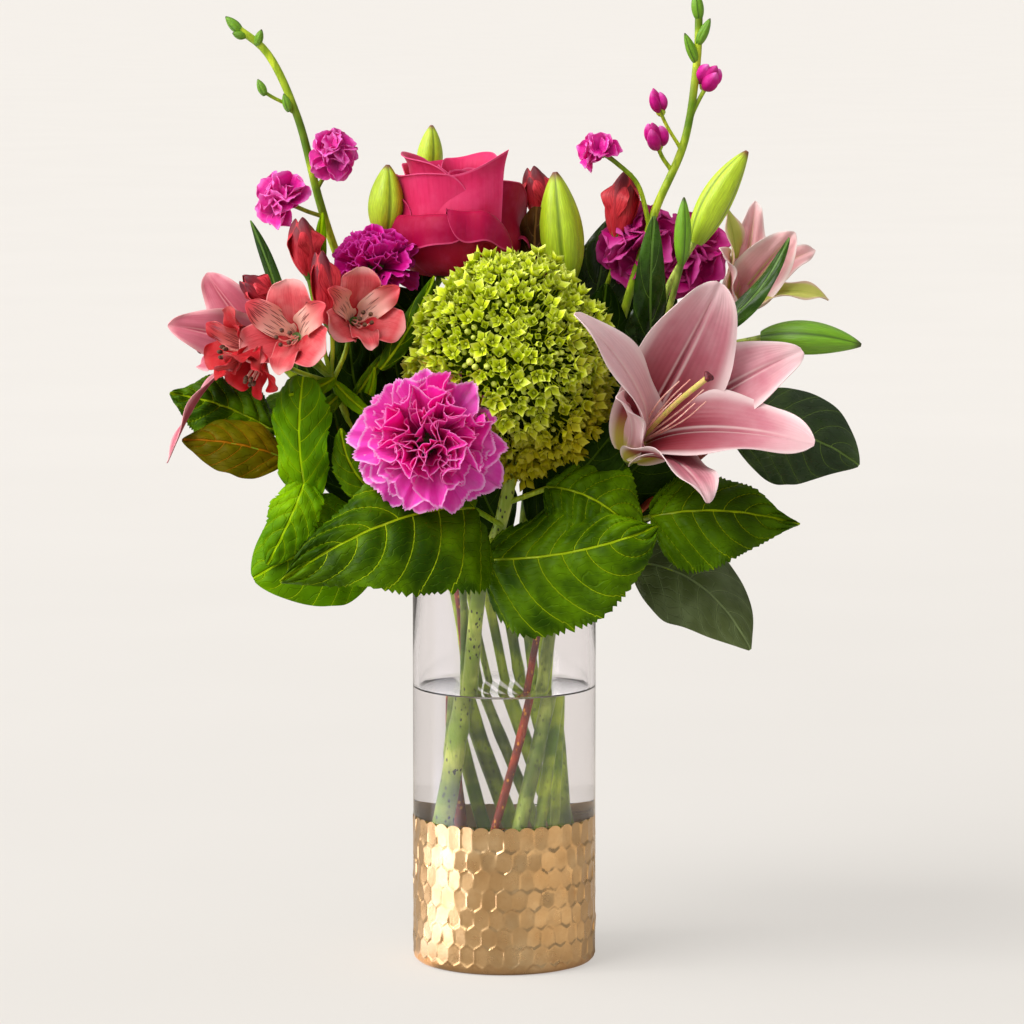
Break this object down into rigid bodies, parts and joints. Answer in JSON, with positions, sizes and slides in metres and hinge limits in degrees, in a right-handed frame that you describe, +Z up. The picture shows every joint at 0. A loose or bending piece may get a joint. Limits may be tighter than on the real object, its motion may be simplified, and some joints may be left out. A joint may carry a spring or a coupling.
{
  "type": "floral table centerpiece",
  "caption": "Cut flowers and foliage standing in water in a clear glass cylinder vase with a hammered gold band round its foot, to stand on a table.",
  "frame": {"origin": "centre of the vase's flat foot, on the table", "axes": "+Z up along the vase's axis, -Y towards the side the arrangement is seen from, +X to its right from there"},
  "size_m": [0.3822, 0.261, 0.5384],
  "materials": {
    "glass": "clear polished soda-lime glass",
    "gold": "satin hammered gold leaf in a honeycomb of small facets",
    "water": "clear still water",
    "stem_pale": "pale green stem with small dark specks",
    "stem_green": "smooth green stem",
    "stem_brown": "thin woody twig",
    "leaf_bright": "bright green quilted leaf with yellow-green veins",
    "leaf_dark": "dark leathery leaf, satin above",
    "leaf_olive": "olive leaf turning brown",
    "hydrangea": "lime green florets",
    "rose": "hot pink velvety petals",
    "lily": "dusty pink waxy petals, rose at the throat",
    "bud": "yellow-green bud with dark grooves",
    "carnation_pink": "ruffled pink petals with pale frilled edges",
    "carnation_magenta": "ruffled deep magenta petals",
    "alstroemeria": "coral and red petals, dark streaks on the inner ones",
    "stock": "crumpled magenta petals"
  },
  "bodies": {
    "root": {"vase_glass": "glass", "gold_band": "gold", "water": "water", "hydrangea_stem": "stem_pale", "pink_carnation_stem": "stem_pale", "foliage_stem_left": "stem_brown", "alstroemeria_stem_left": "stem_green", "lily_stem_left": "stem_green", "magenta_carnation_stem": "stem_pale", "stock_stem_left": "stem_pale", "rose_stem": "stem_green", "lily_stem_back": "stem_green", "alstroemeria_stem_right": "stem_green", "stock_stem_right": "stem_pale", "lily_stem_right": "stem_green", "foliage_stem_right": "stem_brown", "lily_bud_left": "bud", "lily_bud_back": "bud", "lily_bud_centre": "bud", "lily_bud_right": "bud", "lily_bud_small": "bud", "lily_bud_outer": "bud", "lily_front": "lily", "lily_right": "lily", "lily_left": "lily", "pink_carnation": "carnation_pink", "magenta_carnation": "carnation_magenta", "hydrangea_head": "hydrangea", "rose": "rose", "alstroemeria_1": "alstroemeria", "alstroemeria_2": "alstroemeria", "alstroemeria_3": "alstroemeria", "alstroemeria_4": "alstroemeria", "alstroemeria_5": "alstroemeria", "alstroemeria_6": "alstroemeria", "alstroemeria_7": "alstroemeria", "alstroemeria_8": "alstroemeria", "alstroemeria_9": "alstroemeria", "stock_flower_left_upper": "stock", "stock_flower_left_lower": "stock", "stock_flower_right_side": "stock", "stock_flower_right_mid": "stock", "stock_bud_right": "stock", "stock_flower_right_upper": "stock", "stock_flower_right_low": "stock", "stock_flower_right_lower": "stock", "hydrangea_leaf_front_left": "leaf_bright", "hydrangea_leaf_front_right": "leaf_bright", "hydrangea_leaf_right": "leaf_bright", "foliage_leaf_left_upright": "leaf_bright", "foliage_leaf_left_olive": "leaf_olive", "foliage_leaf_left_tip": "leaf_bright", "foliage_leaf_left_low": "leaf_bright", "foliage_leaf_right_serrated": "leaf_bright", "salal_leaf_right": "leaf_dark", "salal_leaf_low": "leaf_dark", "rear_leaf_left": "leaf_bright", "rear_leaf_middle_left": "leaf_bright", "rear_leaf_middle_right": "leaf_bright", "rear_leaf_right": "leaf_dark"}
  },
  "joints": []
}
